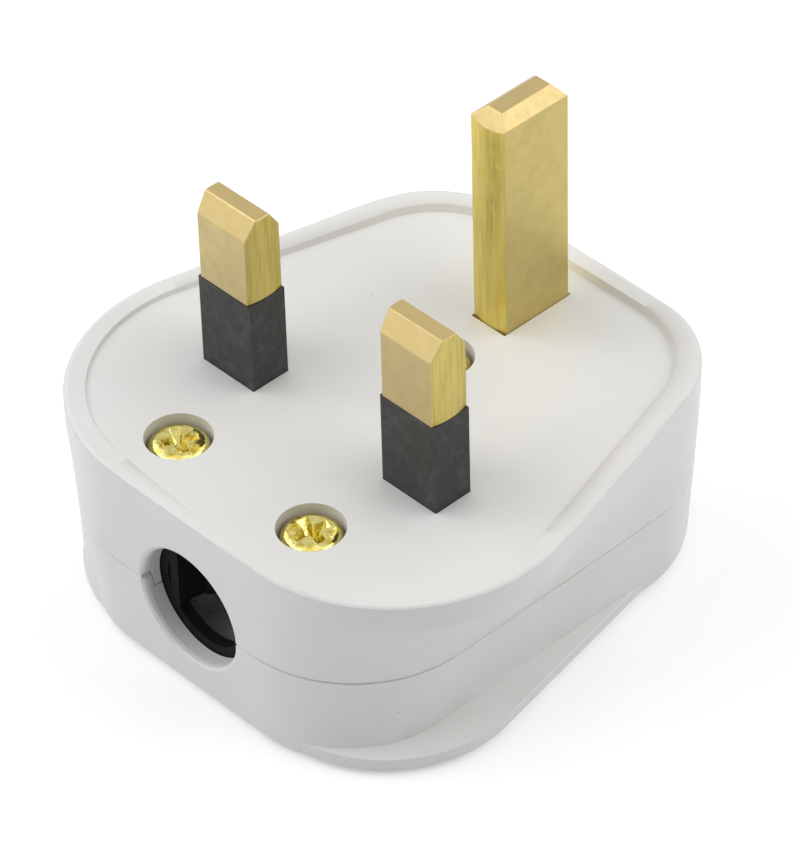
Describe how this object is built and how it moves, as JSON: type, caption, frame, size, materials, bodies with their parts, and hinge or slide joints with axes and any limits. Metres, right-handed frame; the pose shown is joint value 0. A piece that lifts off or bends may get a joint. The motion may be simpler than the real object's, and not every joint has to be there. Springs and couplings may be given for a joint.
{
  "type": "electrical plug",
  "caption": "Rewirable fused mains plug with flat brass pins, insulating sleeves and a white two-part shell with finger flanges.",
  "frame": {"origin": "middle of the bounding box at the back of the cover, which the plug lies on", "axes": "+Z along the pins, +Y from the cord hole towards the earth pin, +X along the row of the short pins towards the neutral pin"},
  "size_m": [0.0498, 0.048, 0.0421],
  "materials": {
    "shell": "semi-gloss moulded",
    "pin_brass": "satin, lightly worn",
    "sleeve": "matt",
    "screw_brass": "bright",
    "insert_brass": "turned",
    "clip_copper": "spring bronze",
    "fuse_ceramic": "glazed ceramic",
    "fuse_cap": "plated",
    "washer_steel": "plated",
    "retainer_fibre": "fibre",
    "grip_nylon": "moulded nylon"
  },
  "bodies": {
    "root": {"base": "shell", "cover": "shell", "earth_pin": "pin_brass", "line_pin": "pin_brass", "neutral_pin": "pin_brass", "line_sleeve": "sleeve", "neutral_sleeve": "sleeve", "line_terminal": "pin_brass", "line_pin_fuse_clip": "clip_copper", "line_terminal_fuse_clip": "clip_copper", "fuse_body": "fuse_ceramic", "fuse_front_cap": "fuse_cap", "fuse_back_cap": "fuse_cap", "cord_grip": "grip_nylon", "earth_clamp_washer": "washer_steel", "earth_terminal_screw": "screw_brass", "line_clamp_washer": "washer_steel", "line_terminal_screw": "screw_brass", "neutral_clamp_washer": "washer_steel", "neutral_terminal_screw": "screw_brass", "front_left_screw": "screw_brass", "front_left_screw_retainer": "retainer_fibre", "front_left_insert": "insert_brass", "front_right_screw": "screw_brass", "front_right_screw_retainer": "retainer_fibre", "front_right_insert": "insert_brass", "centre_screw": "screw_brass", "centre_screw_retainer": "retainer_fibre", "centre_insert": "insert_brass"}
  },
  "joints": []
}
